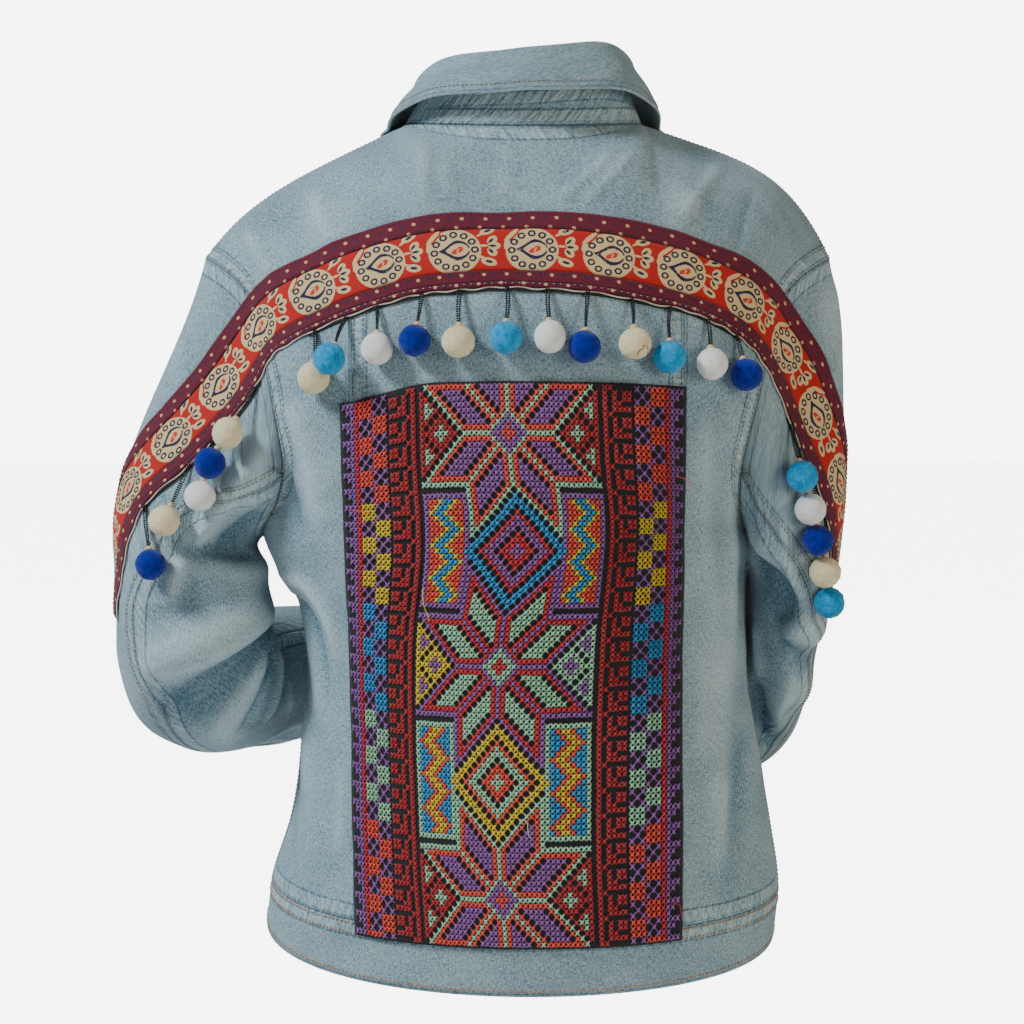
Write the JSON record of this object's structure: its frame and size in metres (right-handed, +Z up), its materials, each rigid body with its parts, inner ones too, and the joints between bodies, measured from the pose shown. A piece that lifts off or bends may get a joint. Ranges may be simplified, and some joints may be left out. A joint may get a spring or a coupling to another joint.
{
  "type": "denim jacket",
  "caption": "Pale blue denim jacket, filled out as if worn, with a cross-stitched back panel, a printed braid across back and sleeves, and felt pompoms on bead strings.",
  "frame": {"origin": "the middle of the neck opening, level with the seam of the back neck, where the wearer's neck holds the jacket", "axes": "+X towards the wearer's right, +Y towards the wearer's front, +Z up"},
  "size_m": [0.5272, 0.3946, 0.6539],
  "materials": {
    "denim": "pale blue cotton denim, washed and matt",
    "black_ground": "black evenweave cotton under cotton cross-stitches in many colours",
    "maroon_cotton": "dark maroon cotton with small printed dots",
    "red_print_cotton": "brick red cotton, block-printed in cream and navy",
    "black_beads": "black tape and small glossy beads",
    "antique_brass": "aged brass, satin",
    "cream_felt": "wool felt, matt and slightly hairy",
    "turquoise_felt": "wool felt, matt and slightly hairy",
    "white_felt": "wool felt, matt and slightly hairy",
    "blue_felt": "wool felt, matt and slightly hairy"
  },
  "bodies": {
    "root": {"back_yoke": "denim", "back_center": "denim", "back_side_left": "denim", "back_side_right": "denim", "front_left": "denim", "front_right": "denim", "button_band_left": "denim", "button_band_right": "denim", "waistband": "denim", "sleeve_upper_left": "denim", "sleeve_under_left": "denim", "sleeve_upper_right": "denim", "sleeve_under_right": "denim", "cuff_left": "denim", "cuff_right": "denim", "collar_stand": "denim", "collar_leaf": "denim", "button_1": "antique_brass", "button_2": "antique_brass", "button_3": "antique_brass", "button_4": "antique_brass", "button_5": "antique_brass", "button_6": "antique_brass", "cuff_button_left": "antique_brass", "cuff_button_right": "antique_brass", "embroidered_panel": "black_ground", "braid_border_upper": "maroon_cotton", "braid_print": "red_print_cotton", "braid_border_lower": "maroon_cotton", "tape_left": "black_beads", "tape_back": "black_beads", "tape_right": "black_beads", "pompom_01": "cream_felt", "pompom_02": "blue_felt", "pompom_03": "white_felt", "pompom_04": "cream_felt", "pompom_05": "blue_felt", "pompom_06": "cream_felt", "pompom_07": "turquoise_felt", "pompom_08": "white_felt", "pompom_09": "blue_felt", "pompom_10": "cream_felt", "pompom_11": "turquoise_felt", "pompom_12": "white_felt", "pompom_13": "blue_felt", "pompom_14": "cream_felt", "pompom_15": "turquoise_felt", "pompom_16": "white_felt", "pompom_17": "blue_felt", "pompom_18": "turquoise_felt", "pompom_19": "white_felt", "pompom_20": "blue_felt", "pompom_21": "cream_felt", "pompom_22": "turquoise_felt"}
  },
  "joints": []
}
